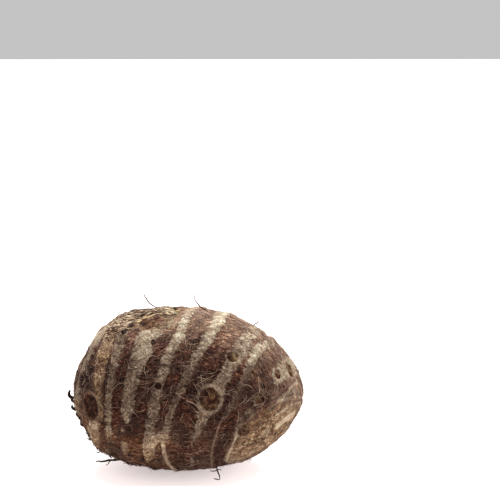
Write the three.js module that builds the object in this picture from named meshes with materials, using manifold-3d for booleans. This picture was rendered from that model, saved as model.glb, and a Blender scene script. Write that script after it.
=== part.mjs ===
// Taro corm: one swollen underground stem, lying on its side as it rests on a table.
// Millimetres, +Z up. The base is at -X, the growing tip at +X. The origin is under the middle of its box.
import * as THREE from 'three';
import { mergeVertices } from 'three/addons/utils/BufferGeometryUtils.js';
import Module from 'manifold-3d';

// Body: an egg on its side, full behind the middle and slimmer towards the tip
const halfLength = 46;
const halfHeight = 32.4;
const depthShare = 0.98; // depth over height
const middleHeight = 32.15; // of the body's middle line over the table
const endDroop = 1.2; // how far the ends of the middle line hang
const shoulder = { at: -25, reach: 13, lift: 1.1 }; // the middle line rises a little behind the middle
const tipSag = { at: 32, reach: 9, lift: -0.9 }; // and sags a little near the tip
const fullness = [-0.06, 0.12, -0.16]; // shares of the radius for the 1st, 2nd and 3rd power of the place
const endSlimming = { base: 0.33, tip: 0.14 }; // share of the radius that each end loses

// Growth rings, from the base to the tip. Each is the scar that a ring of leaf stalks left, a low ridge
// in a plane of its own. The planes fan out, so that the rings crowd together under the tip.
// at: where the plane meets the middle line. lean, turn: degrees that its top leans to the tip, and
// its near side to the base. width: of the ridge at the top. slim: share of it lost at the underside.
// rise: ridge height. sway, swayFrom: how far it wanders from its plane, and from what angle.
// worn: where the ridge has worn away, in degrees round from the top, and over how many degrees.
const rings = [
  { at: -41.0, lean: 12, turn: 16, width: 2.6, slim: 0.2, rise: 0.5, sway: 0.4, swayFrom: 40 },
  { at: -32.0, lean: 6, turn: 14, width: 6.0, slim: 0.3, rise: 0.5, sway: 0.3, swayFrom: 75 },
  { at: -25.6, lean: 3, turn: 13, width: 2.0, slim: 0.0, rise: 0.5, sway: 0.3, swayFrom: 10 },
  { at: -15.8, lean: 9, turn: 16.5, width: 5.6, slim: 0.35, rise: 0.5, sway: 0.4, swayFrom: 100 },
  { at: -4.2, lean: 12, turn: 17.5, width: 4.2, slim: 0.1, rise: 0.55, sway: 0.3, swayFrom: 60 },
  { at: 6.9, lean: 16.5, turn: 20, width: 4.6, slim: 0.45, rise: 0.55, sway: 0.7, swayFrom: 22 },
  { at: 18.2, lean: 24, turn: 19, width: 7, slim: 0.6, rise: 0.45, sway: 0.3, swayFrom: 85, worn: [150, 60] },
  { at: 25.2, lean: 22, turn: 18, width: 3.6, slim: 0.7, rise: 0.5, sway: 0.3, swayFrom: 5 },
  { at: 38.5, lean: 32, turn: 31, width: 4, slim: 0.3, rise: 0.4, sway: 0.4, swayFrom: 30, worn: [150, 130] },
  { at: 53.6, lean: 41.7, turn: 44.3, width: 2.4, slim: 0.0, rise: 0.8, sway: 0.4, swayFrom: 95 },
  { at: 58.0, lean: 41.7, turn: 44.3, width: 1.6, slim: 0.0, rise: 0.3, sway: 0.2, swayFrom: 20 },
];
const swayWaves = 3; // times a ring wanders to and fro in one turn
const wornEdge = 25; // degrees over which a worn ridge fades

// Low swellings all over the body
const swellings = [
  { pitch: 31, height: 0.45, from: [0.3, 1.9, 4.1] },
  { pitch: 17, height: 0.25, from: [2.2, 0.4, 3.3] },
];

// Side buds and old scars. along: place on the middle line. roll: degrees from the near side, up and over.
// radius: to the rim's crest. rim: its height. moat: depth inside the rim. dome: height of the bud itself.
const buds = [
  { along: 8.0, roll: 7, radius: 4.6, rim: 0.7, moat: 0.9, dome: 0.5 },
  { along: 16.9, roll: 39, radius: 2.7, rim: 0.5, moat: 0.4, dome: 0.7 },
  { along: 27.1, roll: 7, radius: 2.5, rim: 0.4, moat: 0.3, dome: 0.4 },
  { along: 21.3, roll: -20, radius: 2.7, rim: 0.4, moat: 0.5, dome: 0.2 },
  { along: -11.7, roll: 16, radius: 1.5, rim: 0.3, moat: 0.7, dome: -0.7 },
  { along: 34.8, roll: 34, radius: 1.7, rim: 0.4, moat: 0.4, dome: 0.3 },
  { along: 40.1, roll: 51, radius: 1.9, rim: 0.4, moat: 0.6, dome: 0.1 },
  { along: -38.4, roll: -3, radius: 5.2, rim: 0.5, moat: 1.2, dome: -0.9 },
  { along: -7.0, roll: 142, radius: 4.0, rim: 0.6, moat: 0.7, dome: 0.6 },
  { along: 19.0, roll: 172, radius: 3.0, rim: 0.5, moat: 0.5, dome: 0.5 },
  { along: -26.0, roll: 196, radius: 3.6, rim: 0.6, moat: 0.7, dome: 0.4 },
  { along: 31.0, roll: 118, radius: 2.6, rim: 0.4, moat: 0.4, dome: 0.5 },
  { along: 3.0, roll: 226, radius: 2.8, rim: 0.4, moat: 0.5, dome: 0.4 },
];
const budSideLength = 1.7; // of the many-sided ring that stands for a bud's round
const budRoot = 2.0; // how deep a bud's solid is sunk below its moat
const budTuck = 0.15; // how far the foot of its outer slope is sunk in the skin
const budWall = 1.35; // radius at that foot, as a share of the radius to the rim's crest
const budClearance = 3; // height of the cutter that opens the skin for a bud
const skinBend = 42; // mean radius of curvature of the body's side, which a bud's rim follows

// A bud's section from its rim in to its top. across: share of the radius. The height there is made up
// of these shares of the rim's height, the moat's depth and the dome's height.
const budSection = [
  { across: 1.15, ofRim: 0.75, ofMoat: 0, ofDome: 0 },
  { across: 1, ofRim: 1, ofMoat: 0, ofDome: 0 },
  { across: 0.85, ofRim: 0.3, ofMoat: 0.3, ofDome: 0 },
  { across: 0.72, ofRim: 0, ofMoat: 1, ofDome: 0 },
  { across: 0.4, ofRim: 0, ofMoat: 0.25, ofDome: 0.75 },
  { across: 0, ofRim: 0, ofMoat: 0, ofDome: 1 },
];

// Growing tip: a slit between the last two leaf scales, of which the upper one's lip stands proud.
// from, to: its ends on the middle line. roll: as a bud's. fadesOver: from the lip's edge up the scale.
// fullShare, endShare: how far the lip runs from the slit's middle, as shares of the slit's length.
const tipSlit = { from: 23, to: 36, roll: -38, width: 0.9, depth: 1.6, sides: 14 };
const tipLip = { rise: 0.45, edge: 0.6, fadesOver: 5, fullShare: 0.33, endShare: 0.7 };

// Base: the scar where the corm hung on its parent
const baseScar = { radius: 6.0, rim: 0.6, moat: 0.9, dome: -0.3 };

// Mesh
const columns = 54; // points round a slice
const ridgeSteps = [-1, -0.55, 0.55, 1]; // rows across a ridge, as shares of its half width
const rowSpacing = 3.6; // between ridges
const capRows = 4; // between the outermost rings and the ends
const castSteps = 40; // halvings that find where a line leaves the body
const normalStep = 0.05; // each way, to measure the body's slope

const skinFinish = { color: 0x6d5442, roughness: 0.9, metalness: 0 };

const { degToRad, radToDeg, clamp, lerp, smoothstep } = THREE.MathUtils;
const sideways = new THREE.Vector3(0, 1, 0);

function hump({ at, reach, lift }, along) {
  return lift * Math.exp(-(((along - at) / reach) ** 2));
}

function middleLevel(along) {
  const drop = endDroop * (along / halfLength) ** 2;
  return middleHeight - drop + hump(shoulder, along) + hump(tipSag, along);
}

function bodyRadius(along) {
  const share = clamp(along / halfLength, -1, 1);
  const swelling = fullness.reduce((sum, part, power) => sum + part * share ** (power + 1), 1);
  const slimming = share < 0 ? endSlimming.base : endSlimming.tip;
  return halfHeight * Math.sqrt(1 - share ** 2) * (swelling - slimming * share ** 8);
}

// How far a point lies outside the smooth body; negative inside it
function clearanceAt(point) {
  const across = Math.hypot(point.y / depthShare, point.z - middleLevel(point.x));
  return across - bodyRadius(point.x);
}

function castOut(from, direction) {
  let near = 0;
  let far = 2 * halfLength;
  const point = new THREE.Vector3();
  for (let step = 0; step < castSteps; step += 1) {
    const reach = (near + far) / 2;
    point.copy(from).addScaledVector(direction, reach);
    if (clearanceAt(point) < 0) near = reach;
    else far = reach;
  }
  return point;
}

function normalAt(point) {
  const slope = ['x', 'y', 'z'].map((axis) => {
    const ahead = point.clone();
    const behind = point.clone();
    ahead[axis] += normalStep;
    behind[axis] -= normalStep;
    return clearanceAt(ahead) - clearanceAt(behind);
  });
  return new THREE.Vector3(...slope).normalize();
}

function swellingAt(point) {
  return swellings.reduce((sum, { pitch, height, from }) => {
    const wave = (value, start) => Math.sin((2 * Math.PI * value) / pitch + start);
    return sum + height * wave(point.x, from[0]) * wave(point.y, from[1]) * wave(point.z, from[2]);
  }, 0);
}

// A slice through the body: its middle, its normal and how it wanders. Whole numbers are the rings,
// and the numbers beyond the first and the last ring run on to the two ends of the body.
function ringSlice({ at, lean, turn }) {
  const normal = new THREE.Vector3(1, -Math.tan(degToRad(turn)), -Math.tan(degToRad(lean))).normalize();
  const halfSizes = new THREE.Vector3(halfLength, halfHeight * depthShare, halfHeight);
  const spread = normal.clone().multiply(halfSizes).multiply(halfSizes);
  const middle = spread.multiplyScalar((at * normal.x) / spread.dot(normal));
  middle.z += middleHeight;
  return { middle, normal };
}

// Where a straight line out from the middle line, at this roll from the near side, leaves the body
function footOf(along, roll) {
  const outward = new THREE.Vector3(0, -Math.cos(degToRad(roll)), Math.sin(degToRad(roll)));
  return castOut(new THREE.Vector3(along, 0, middleLevel(along)), outward);
}

const slitEnds = [tipSlit.from, tipSlit.to].map((along) => footOf(along, tipSlit.roll));
const slitMiddle = footOf((tipSlit.from + tipSlit.to) / 2, tipSlit.roll);
const slitLength = slitEnds[0].distanceTo(slitEnds[1]);
const slitOut = normalAt(slitMiddle);
const slitAlong = slitEnds[1].clone().sub(slitEnds[0]).projectOnPlane(slitOut).normalize();
const slitUphill = slitOut.clone().cross(slitAlong);

function lipAt(point) {
  const { rise, edge, fadesOver, fullShare, endShare } = tipLip;
  const gap = point.clone().sub(slitMiddle);
  const [along, uphill] = [Math.abs(gap.dot(slitAlong)), gap.dot(slitUphill)];
  const step = smoothstep(uphill, 0, edge) * (1 - smoothstep(uphill, edge, fadesOver));
  const length = 1 - smoothstep(along, slitLength * fullShare, slitLength * endShare);
  const onFarSide = gap.dot(slitOut) < -slitLength;
  return onFarSide ? 0 : rise * step * length;
}

const ringSlices = rings.map(ringSlice);
const lastRing = rings.length - 1;
const baseEnd = castOut(ringSlices[0].middle, ringSlices[0].normal.clone().negate());
const tipEnd = castOut(ringSlices[lastRing].middle, ringSlices[lastRing].normal);

function sliceAt(place) {
  if (place < 0) return capSlice(ringSlices[0], baseEnd, -place);
  if (place > lastRing) return capSlice(ringSlices[lastRing], tipEnd, place - lastRing);
  const before = Math.min(Math.floor(place), lastRing - 1);
  const share = place - before;
  const mixed = (key) => lerp(rings[before][key], rings[before + 1][key], share);
  return ringSlice({ at: mixed('at'), lean: mixed('lean'), turn: mixed('turn') });
}

function capSlice({ middle, normal }, end, share) {
  return { middle: middle.clone().lerp(end, Math.sin((share * Math.PI) / 2)), normal };
}

function swayOf({ sway, swayFrom }, around) {
  return sway * Math.sin(swayWaves * (around - degToRad(swayFrom)));
}

function swayAt(place, around) {
  const inside = clamp(place, 0, lastRing);
  const before = Math.min(Math.floor(inside), lastRing - 1);
  const share = inside - before;
  const capShare = Math.abs(place - inside);
  const mixed = lerp(swayOf(rings[before], around), swayOf(rings[before + 1], around), share);
  return mixed * (1 - capShare);
}

// A point of the smooth body, on the slice at this place and at this angle from the top to the near side
function bodyPoint(place, around) {
  const { middle, normal } = sliceAt(place);
  const up = normal.clone().cross(sideways).normalize();
  const near = normal.clone().cross(up);
  const direction = up.multiplyScalar(Math.cos(around)).addScaledVector(near, Math.sin(around));
  return castOut(middle.clone().addScaledVector(normal, swayAt(place, around)), direction);
}

function ridgeHalfWidth({ width, slim }, around) {
  return (width / 2) * (1 - (slim * (1 - Math.cos(around))) / 2);
}

function gapBeside(index, side) {
  const neighbour = clamp(index + side, 0, lastRing);
  if (neighbour !== index) return Math.abs(rings[neighbour].at - rings[index].at);
  return side < 0 ? rings[0].at + halfLength : rings[lastRing].at - rings[lastRing - 1].at;
}

function ridgePlace(index, step, around) {
  const side = Math.sign(step);
  return index + (step * ridgeHalfWidth(rings[index], around)) / gapBeside(index, side);
}

function wornShare({ worn }, around) {
  if (worn === undefined) return 1;
  const [middle, span] = worn;
  const away = radToDeg(Math.acos(Math.cos(around - degToRad(middle))));
  return smoothstep(away, span / 2, span / 2 + wornEdge);
}

function ridgeHeight(index, step, around) {
  return rings[index].rise * (1 - step ** 4) * wornShare(rings[index], around);
}

function ridgeRows(index) {
  return ridgeSteps.map((step) => ({
    placeAt: (around) => ridgePlace(index, step, around),
    heightAt: (around) => ridgeHeight(index, step, around),
  }));
}

function plainRows(from, to, count) {
  return Array.from({ length: count }, (_, row) => ({
    placeAt: (around) => lerp(from(around), to(around), (row + 1) / (count + 1)),
    heightAt: () => 0,
  }));
}

// Rows from the base to the tip: each gives its place and height at an angle
function skinRows() {
  const before = (index) => (around) => ridgePlace(index, -1, around);
  const after = (index) => (around) => ridgePlace(index, 1, around);
  const rows = plainRows(() => -1, before(0), capRows - 1);
  rings.forEach((ring, index) => {
    rows.push(...ridgeRows(index));
    if (index === lastRing) return;
    const next = rings[index + 1];
    const valley = next.at - ring.at - (ring.width + next.width) / 2;
    rows.push(...plainRows(after(index), before(index + 1), Math.round(valley / rowSpacing)));
  });
  return rows.concat(plainRows(after(lastRing), () => lastRing + 1, capRows - 1));
}

function raised(point, height) {
  return point.clone().addScaledVector(normalAt(point), height + swellingAt(point) + lipAt(point));
}

function skinGeometry() {
  const rows = skinRows();
  const points = [raised(baseEnd, 0)];
  for (const { placeAt, heightAt } of rows) {
    for (let column = 0; column < columns; column += 1) {
      const around = (2 * Math.PI * column) / columns;
      points.push(raised(bodyPoint(placeAt(around), around), heightAt(around)));
    }
  }
  points.push(raised(tipEnd, 0));
  const faces = [];
  const corner = (row, column) => 1 + row * columns + (column % columns);
  for (let column = 0; column < columns; column += 1) {
    faces.push(0, corner(0, column + 1), corner(0, column));
    faces.push(points.length - 1, corner(rows.length - 1, column), corner(rows.length - 1, column + 1));
  }
  for (let row = 0; row < rows.length - 1; row += 1) {
    for (let column = 0; column < columns; column += 1) {
      const [low, lowNext] = [corner(row, column), corner(row, column + 1)];
      const [high, highNext] = [corner(row + 1, column), corner(row + 1, column + 1)];
      faces.push(low, highNext, high, low, lowNext, highNext);
    }
  }
  return new THREE.BufferGeometry().setFromPoints(points).setIndex(faces);
}

// A turned piece standing on the skin: its own up is the skin's normal at the foot
function turned(profile, sides, foot, up) {
  const outline = profile.map(([across, high]) => new THREE.Vector2(across, high));
  const geometry = new THREE.LatheGeometry(outline, sides);
  geometry.applyQuaternion(new THREE.Quaternion().setFromUnitVectors(sideways, up));
  return geometry.translate(foot.x, foot.y, foot.z);
}

// Heights are over the skin, which falls away from the flat at the foot
function followSkin(across, height) {
  return [across, height - across ** 2 / (2 * skinBend)];
}

function budProfile({ radius, rim, moat, dome }) {
  const floor = -moat - budRoot;
  const wall = radius * budWall;
  const section = budSection.map(({ across, ofRim, ofMoat, ofDome }) => {
    return followSkin(radius * across, rim * ofRim - moat * ofMoat + dome * ofDome);
  });
  return [[0, floor], [wall, floor], followSkin(wall, -budTuck), ...section];
}

function cutterProfile({ radius, moat }) {
  const floor = -moat - budRoot / 2;
  return [[0, floor], [radius, floor], [radius, budClearance], [0, budClearance]];
}

// The groove of the slit, as a long thin lens to cut away
function slitGeometry() {
  const lens = new THREE.SphereGeometry(1, tipSlit.sides, tipSlit.sides / 2);
  lens.scale(slitLength / 2, tipSlit.depth, tipSlit.width / 2);
  lens.applyMatrix4(new THREE.Matrix4().makeBasis(slitAlong, slitOut, slitAlong.clone().cross(slitOut)));
  return lens.translate(slitMiddle.x, slitMiddle.y, slitMiddle.z);
}

const wasm = await Module();
wasm.setup();

function solidFrom(geometry) {
  const bare = geometry.clone();
  bare.deleteAttribute('normal');
  bare.deleteAttribute('uv');
  const merged = mergeVertices(bare);
  const index = merged.index.array;
  const triVerts = [];
  for (let first = 0; first < index.length; first += 3) {
    const [a, b, c] = index.slice(first, first + 3);
    if (a !== b && b !== c && c !== a) triVerts.push(a, b, c);
  }
  const [vertProperties, corners] = [merged.attributes.position.array, Uint32Array.from(triVerts)];
  return new wasm.Manifold(new wasm.Mesh({ numProp: 3, vertProperties, triVerts: corners }));
}

function withBud(body, bud, foot) {
  const up = normalAt(foot);
  const sides = Math.round((2 * Math.PI * bud.radius) / budSideLength) + 3;
  const opened = body.subtract(solidFrom(turned(cutterProfile(bud), sides, foot, up)));
  return opened.add(solidFrom(turned(budProfile(bud), sides, foot, up)));
}

function cormSolid() {
  let body = solidFrom(skinGeometry());
  for (const bud of buds) body = withBud(body, bud, footOf(bud.along, bud.roll));
  body = withBud(body, baseScar, baseEnd);
  body = body.subtract(solidFrom(slitGeometry()));
  const underTable = new THREE.BoxGeometry(4 * halfLength, 4 * halfLength, halfHeight);
  underTable.translate(0, 0, -halfHeight / 2);
  return body.subtract(solidFrom(underTable));
}

function cormMesh() {
  const { vertProperties, triVerts } = cormSolid().getMesh();
  const geometry = new THREE.BufferGeometry();
  geometry.setAttribute('position', new THREE.BufferAttribute(vertProperties, 3));
  geometry.setIndex(new THREE.BufferAttribute(triVerts, 1));
  geometry.computeVertexNormals();
  geometry.computeBoundingBox();
  const middle = geometry.boundingBox.getCenter(new THREE.Vector3());
  geometry.translate(-middle.x, -middle.y, 0);
  const mesh = new THREE.Mesh(geometry, new THREE.MeshStandardMaterial(skinFinish));
  mesh.name = 'corm';
  return mesh;
}

const group = new THREE.Group();
group.add(cormMesh());
export default group;
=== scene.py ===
import math

import bpy
import numpy as np
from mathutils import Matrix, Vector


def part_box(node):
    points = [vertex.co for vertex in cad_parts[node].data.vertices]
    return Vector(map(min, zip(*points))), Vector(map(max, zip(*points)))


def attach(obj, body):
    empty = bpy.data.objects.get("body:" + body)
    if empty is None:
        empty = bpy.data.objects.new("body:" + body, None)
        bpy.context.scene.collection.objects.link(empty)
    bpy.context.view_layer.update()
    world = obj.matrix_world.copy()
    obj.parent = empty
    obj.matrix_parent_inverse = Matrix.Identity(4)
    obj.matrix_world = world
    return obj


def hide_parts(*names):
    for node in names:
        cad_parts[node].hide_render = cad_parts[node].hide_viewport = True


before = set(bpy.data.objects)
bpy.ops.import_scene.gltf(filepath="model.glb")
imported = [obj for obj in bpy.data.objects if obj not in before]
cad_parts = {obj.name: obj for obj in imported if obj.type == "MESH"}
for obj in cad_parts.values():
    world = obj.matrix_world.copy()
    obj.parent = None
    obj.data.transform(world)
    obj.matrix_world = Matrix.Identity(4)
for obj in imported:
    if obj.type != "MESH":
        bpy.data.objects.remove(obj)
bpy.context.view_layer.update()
mm = 0.001


def unit(vectors):
    return vectors / np.maximum(np.linalg.norm(vectors, axis=-1, keepdims=True), 1e-12)


def smooth(low, high, value):
    share = np.clip((value - low) / (high - low), 0, 1)
    return share * share * (3 - 2 * share)


def blendOf(first, second, share):
    return first + (second - first) * share


def linearColour(hexText):
    values = [int(hexText[i:i + 2], 16) / 255 for i in (1, 3, 5)]
    return tuple(v / 12.92 if v <= 0.04045 else ((v + 0.055) / 1.055) ** 2.4 for v in values) + (1,)


def named(keys, rows):
    # a table's rows as dictionaries with these keys
    if isinstance(rows, dict):
        return {name: dict(zip(keys, row)) for name, row in rows.items()}
    return [dict(zip(keys, row)) for row in rows]


latticeSize = 64  # cells along each side, after which the patches repeat
latticeShift = 17.3  # cells, so that no lattice plane runs through the corm's middle
lattices = {}


def patches(points, pitch, seed):
    # smooth random patches of about this pitch in mm, from 0 to 1
    if seed not in lattices:
        lattices[seed] = np.random.default_rng(seed).random((latticeSize,) * 3)
    grid = lattices[seed]
    spot = points / pitch + latticeShift
    low = np.floor(spot).astype(int)
    part = spot - low
    part = part * part * (3 - 2 * part)
    total = 0
    for dx in (0, 1):
        for dy in (0, 1):
            for dz in (0, 1):
                weight = 1
                for axis, step in enumerate((dx, dy, dz)):
                    weight = weight * (part[..., axis] if step else 1 - part[..., axis])
                corner = (low + np.array((dx, dy, dz))) % latticeSize
                total = total + weight * grid[corner[..., 0], corner[..., 1], corner[..., 2]]
    return total


def roughPatches(points, pitch, seed, layers=3):
    # patches with finer ones over them, each layer fainter by this share
    total, weight, fainter = 0, 0, 1.7
    for layer in range(layers):
        total = total + patches(points, pitch / 2 ** layer, seed + layer) / fainter ** layer
        weight += 1 / fainter ** layer
    return total / weight


# Slow random drifts: by how much, the patches' pitch in mm, the seed, and how many layers of patches
drifts = {
    "slit": (0.6, 5, 91, 3), "farAngle": (26, 17, 31, 1), "farBands": (0.1, 23, 37, 1),
    "mats": (0.3, 12, 41, 3), "bark": (0.5, 9, 47, 3), "tan": (0.5, 7, 67, 1), "grit": (0.2, 1.6, 51, 3),
    "furrows": (0.32, 1.0, 57, 3), "longFibres": (0.5, 2.5, 83, 3),
}


def driftOf(name, points):
    size, pitch, seed, layers = drifts[name]
    return size * (roughPatches(points, pitch, seed, layers) - 0.5)


def addNode(tree, kind, inputs=(), stops=(), **settings):
    # an input may be a value, a socket, or another node, whose main result it takes. stops: a colour ramp's.
    node = tree.nodes.new("ShaderNode" + kind)
    for name, value in settings.items():
        setattr(node, name, value)
    for place, value in dict(inputs).items():
        if isinstance(value, bpy.types.Node):
            value = value.outputs[2 if value.bl_idname == "ShaderNodeMix" else 0]
        if isinstance(value, bpy.types.NodeSocket):
            tree.links.new(value, node.inputs[place])
        else:
            node.inputs[place].default_value = value
    for index, (at, colour) in enumerate(stops):
        point = node.color_ramp.elements[index] if index < 2 else node.color_ramp.elements.new(at)
        point.position, point.color = at, linearColour(colour)
    return node


def newMaterial(name, finish):
    material = bpy.data.materials.new(name)
    material.use_nodes = True
    shader = material.node_tree.nodes["Principled BSDF"]
    shader.inputs["Roughness"].default_value = finish["roughness"]
    shader.inputs["Specular IOR Level"].default_value = finish["shine"]
    return material, material.node_tree, shader


# pitch: down from level. turn: clockwise from above. cormSeenAt: the corm's middle on the camera's own axes.
view = {
    "lens": 100, "sensor": 36, "pitch": 8.7, "turn": 2.53, "cormSeenAt": (-24.9, -58.9, -562.5),
    "nearest": 50, "farthest": 30000,
}


def makeCamera():
    data = bpy.data.cameras.new("camera")
    data.lens, data.sensor_width = view["lens"], view["sensor"]
    data.clip_start, data.clip_end = view["nearest"] * mm, view["farthest"] * mm
    camera = bpy.data.objects.new("camera", data)
    bpy.context.scene.collection.objects.link(camera)
    camera.rotation_euler = (math.radians(90 - view["pitch"]), 0, -math.radians(view["turn"]))
    toWorld = np.array(camera.rotation_euler.to_matrix())
    middle = np.array([0, 0, body["middleHeight"]])
    camera.location = (middle - toWorld @ np.array(view["cormSeenAt"])) * mm
    bpy.context.scene.camera = camera


# A wide softbox over the corm and a little behind it, with a dim white tent all round. softboxSpread: how
# wide the light looks from the corm. back, left: how far it leans those ways.
studio = {
    "tent": "#ffffff", "tentStrength": 0.55, "softboxStrength": 9.0, "softboxSpread": 60, "back": 20,
    "left": -9,
}


def makeStudio():
    scene = bpy.context.scene
    scene.view_settings.view_transform = "Standard"
    scene.world = bpy.data.worlds.new("tent")
    scene.world.use_nodes = True
    tent = scene.world.node_tree.nodes["Background"]
    tent.inputs["Color"].default_value = linearColour(studio["tent"])
    tent.inputs["Strength"].default_value = studio["tentStrength"]
    data = bpy.data.lights.new("softbox", "SUN")
    data.energy, data.angle = studio["softboxStrength"], math.radians(studio["softboxSpread"])
    softbox = bpy.data.objects.new("softbox", data)
    softbox.rotation_euler = (-math.radians(studio["back"]), -math.radians(studio["left"]), 0)
    scene.collection.objects.link(softbox)


# The floor's glow is dimmed in an ellipse under the corm as a painted shadow. Its middle and half sizes in
# mm, the share of its reach where it is darkest, and the glow strength there.
floor = {
    "half": 8000, "drop": 0.02, "colour": "#8d8b89", "roughness": 0.6, "shine": 0.5, "glow": "#fff2f0",
    "glowStrength": 1.0, "paintedShadowGlow": 0.54, "paintedShadowAt": (-6, 0), "paintedShadowHalf": (40, 37), "paintedShadowFrom": 0.15,
}


def makeFloor():
    # opal acrylic sheet, satin, that glows, with a painted shadow where the glow is dimmer in the middle,
    # under the corm. The glow's faint pink stands in for light that the brown corm throws back into its
    # shadow.
    half, level = floor["half"] * mm, -floor["drop"] * mm
    corners = [(-half, -half, level), (half, -half, level), (half, half, level), (-half, half, level)]
    mesh = bpy.data.meshes.new("acrylicSheet")
    mesh.from_pydata(corners, [], [(0, 1, 2, 3)])
    sheet = bpy.data.objects.new("acrylicSheet", mesh)
    bpy.context.scene.collection.objects.link(sheet)
    material, tree, shader = newMaterial("glowingFloorWithPaintedShadow", floor)
    spot = addNode(tree, "TexCoord").outputs["Object"]
    scale = [1 / (reach * mm) for reach in floor["paintedShadowHalf"]] + [0]
    shift = [-at / reach for at, reach in zip(floor["paintedShadowAt"], floor["paintedShadowHalf"])] + [0]
    spot = addNode(tree, "Mapping", {"Vector": spot, "Scale": scale, "Location": shift})
    reach = addNode(tree, "VectorMath", {0: spot}, operation="LENGTH").outputs["Value"]
    # the glow is weakest in the middle of the ellipse: this is the painted shadow under the corm
    limits = {"From Min": floor["paintedShadowFrom"], "To Min": floor["paintedShadowGlow"], "To Max": floor["glowStrength"]}
    glow = addNode(tree, "MapRange", {"Value": reach, **limits}, interpolation_type="SMOOTHSTEP")
    tree.links.new(glow.outputs[0], shader.inputs["Emission Strength"])
    shader.inputs["Base Color"].default_value = linearColour(floor["colour"])
    shader.inputs["Emission Color"].default_value = linearColour(floor["glow"])
    mesh.materials.append(material)


# The corm's smooth form: an egg on its side, the same as its solid. swellings: pitch, height, starts.
body = {
    "halfLength": 46, "halfHeight": 32.4, "depthShare": 0.98, "middleHeight": 32.15, "endDroop": 1.2,
    "shoulder": {"at": -25, "reach": 13, "lift": 1.1},
    "tipSag": {"at": 32, "reach": 9, "lift": -0.9},
    "fullness": (-0.06, 0.12, -0.16), "baseSlimming": 0.33, "tipSlimming": 0.14,
    "swellings": ((31, 0.45, (0.3, 1.9, 4.1)), (17, 0.25, (2.2, 0.4, 3.3))),
}

# Leaf-scar rings from the base to the tip, each a low ridge in a plane of its own
ringKeys = ("at", "lean", "turn", "width", "slim", "rise", "sway", "swayFrom")
rings = named(ringKeys, (
    (-41.0, 12, 16, 2.6, 0.2, 0.5, 0.4, 40),
    (-32.0, 6, 14, 6.0, 0.3, 0.5, 0.3, 75),
    (-25.6, 3, 13, 2.0, 0.0, 0.5, 0.3, 10),
    (-15.8, 9, 16.5, 5.6, 0.35, 0.5, 0.4, 100),
    (-4.2, 12, 17.5, 4.2, 0.1, 0.55, 0.3, 60),
    (6.9, 16.5, 20, 4.6, 0.45, 0.55, 0.7, 22),
    (18.2, 24, 19, 7.0, 0.6, 0.45, 0.3, 85),
    (25.2, 22, 18, 3.6, 0.7, 0.5, 0.3, 5),
    (38.5, 32, 31, 4.0, 0.3, 0.4, 0.4, 30),
    (53.6, 41.7, 44.3, 2.4, 0.0, 0.8, 0.4, 95),
    (58.0, 41.7, 44.3, 1.6, 0.0, 0.3, 0.2, 20),
))
wornRings = {6: (150, 60), 8: (150, 130)}  # ring: degrees from the top where it is gone, and over how many
ridge = {"crest": 0.45, "foot": 1.1, "wornFades": 25}  # shares of a ring's half width, and degrees
planeKeys = ("at", "lean", "turn")
ringNumbers = np.arange(len(rings))
lastRing = len(rings) - 1


def ringValues(key):
    return np.array([ring[key] for ring in rings], float)


def hump(along, at, reach, lift):
    return lift * np.exp(-((along - at) / reach) ** 2)


def middleLevel(along):
    drop = body["endDroop"] * (along / body["halfLength"]) ** 2
    return body["middleHeight"] - drop + hump(along, **body["shoulder"]) + hump(along, **body["tipSag"])


def bodyRadius(along):
    share = np.clip(along / body["halfLength"], -1, 1)
    full = 1 + sum(part * share ** (power + 1) for power, part in enumerate(body["fullness"]))
    slimming = np.where(share < 0, body["baseSlimming"], body["tipSlimming"])
    return body["halfHeight"] * np.sqrt(1 - share ** 2) * (full - slimming * share ** 8)


def clearanceAt(points):
    # how far outside the body, square to its middle line. Inside it is below zero.
    across = np.hypot(points[..., 1] / body["depthShare"], points[..., 2] - middleLevel(points[..., 0]))
    return across - bodyRadius(points[..., 0])


def castOut(start, direction, steps=26):
    # where a line from inside leaves the body
    near = np.zeros(direction.shape[:-1])
    far = np.full(direction.shape[:-1], 2.0 * body["halfLength"])
    for _ in range(steps):
        reach = (near + far) / 2
        inside = clearanceAt(start + direction * reach[..., None]) < 0
        near = np.where(inside, reach, near)
        far = np.where(inside, far, reach)
    return start + direction * ((near + far) / 2)[..., None]


def normalAt(points, step=0.05):
    # the way that the body's surface faces
    slopes = []
    for axis in range(3):
        ahead, behind = points.copy(), points.copy()
        ahead[..., axis] += step
        behind[..., axis] -= step
        slopes.append(clearanceAt(ahead) - clearanceAt(behind))
    return unit(np.stack(slopes, -1))


def swellingAt(points):
    # slow waves all over, so that the corm isn't an even egg
    total = 0
    for pitch, height, starts in body["swellings"]:
        waves = [np.sin(2 * math.pi * points[..., k] / pitch + starts[k]) for k in range(3)]
        total = total + height * waves[0] * waves[1] * waves[2]
    return total


def ringSlice(at, lean, turn):
    # the middle of the cut that a leaning plane makes through the corm, and the way that it faces
    normal = unit(np.stack([np.ones_like(at), -np.tan(np.radians(turn)), -np.tan(np.radians(lean))], -1))
    halfSizes = np.array([body["halfLength"], body["halfHeight"] * body["depthShare"], body["halfHeight"]])
    spread = normal * halfSizes ** 2
    middle = spread * (at * normal[..., 0] / (spread * normal).sum(-1))[..., None]
    middle[..., 2] += body["middleHeight"]
    return middle, normal


firstMiddle, firstNormal = ringSlice(*(np.array(float(rings[0][key])) for key in planeKeys))
lastMiddle, lastNormal = ringSlice(*(np.array(float(rings[-1][key])) for key in planeKeys))
baseEnd = castOut(firstMiddle, -firstNormal)
tipEnd = castOut(lastMiddle, lastNormal)


def sliceAt(place):
    # the middle of the slice at this place, and the way that its plane faces
    inside = np.clip(place, 0, lastRing)
    middle, normal = ringSlice(*(np.interp(inside, ringNumbers, ringValues(key)) for key in planeKeys))
    share = np.sin(np.abs(place - inside) * math.pi / 2)[..., None]
    end = np.where((place < 0)[..., None], baseEnd, tipEnd)
    return blendOf(middle, end, share), normal


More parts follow.
